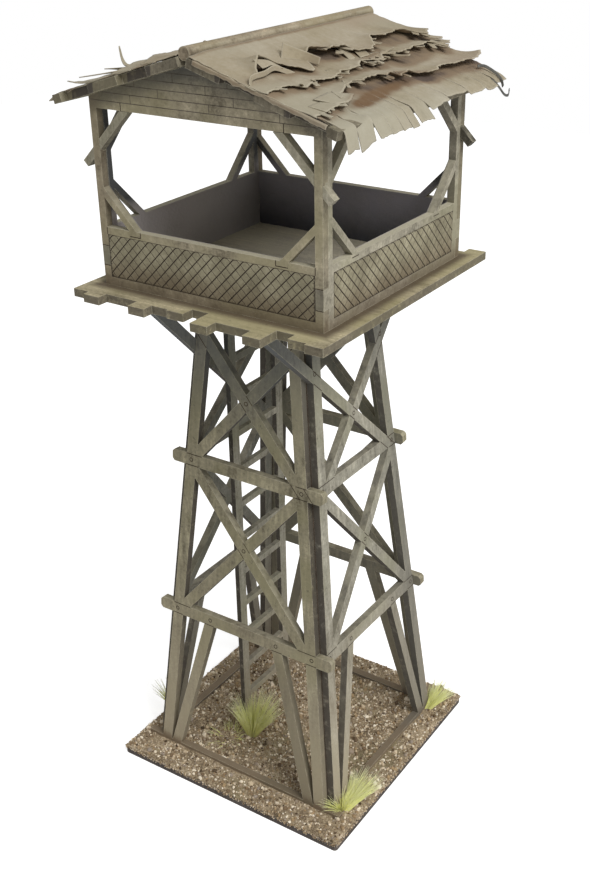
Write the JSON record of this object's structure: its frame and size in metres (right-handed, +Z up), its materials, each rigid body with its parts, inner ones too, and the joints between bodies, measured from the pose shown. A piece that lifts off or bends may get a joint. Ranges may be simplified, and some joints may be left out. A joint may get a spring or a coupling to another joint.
{
  "type": "scale model lookout tower",
  "caption": "Laser-cut board scale model of a timber lookout tower: battered lattice trestle, ladder, plank deck, open cabin with parapet and a low gable roof under torn paper.",
  "frame": {"origin": "centre of the base plate's underside", "axes": "+Z up; the ridge runs along Y; the front gable faces -Y; the ladder is on the -X side"},
  "size_m": [0.1098, 0.1142, 0.278],
  "materials": {
    "painted_board": "drab paint over fibreboard, dry-brushed",
    "base_board": "bare dark cut edge",
    "gravel": "sand and grit set in glue",
    "roof_paper": "painted torn paper, rust-stained",
    "pole_wood": "drab paint"
  },
  "bodies": {
    "root": {"base_plate": "base_board", "gravel_bed": "gravel", "front_trestle": "painted_board", "back_trestle": "painted_board", "left_trestle": "painted_board", "right_trestle": "painted_board", "ladder": "painted_board", "deck": "painted_board", "front_wall": "painted_board", "back_wall": "painted_board", "left_wall": "painted_board", "right_wall": "painted_board", "front_upper_braces": "painted_board", "back_upper_braces": "painted_board", "left_roof_boards": "painted_board", "right_roof_boards": "painted_board", "ridge_pole": "pole_wood", "left_paper_eave": "roof_paper", "left_paper_middle": "roof_paper", "left_paper_ridge": "roof_paper", "right_paper_eave": "roof_paper", "right_paper_middle": "roof_paper", "right_paper_ridge": "roof_paper"}
  },
  "joints": []
}
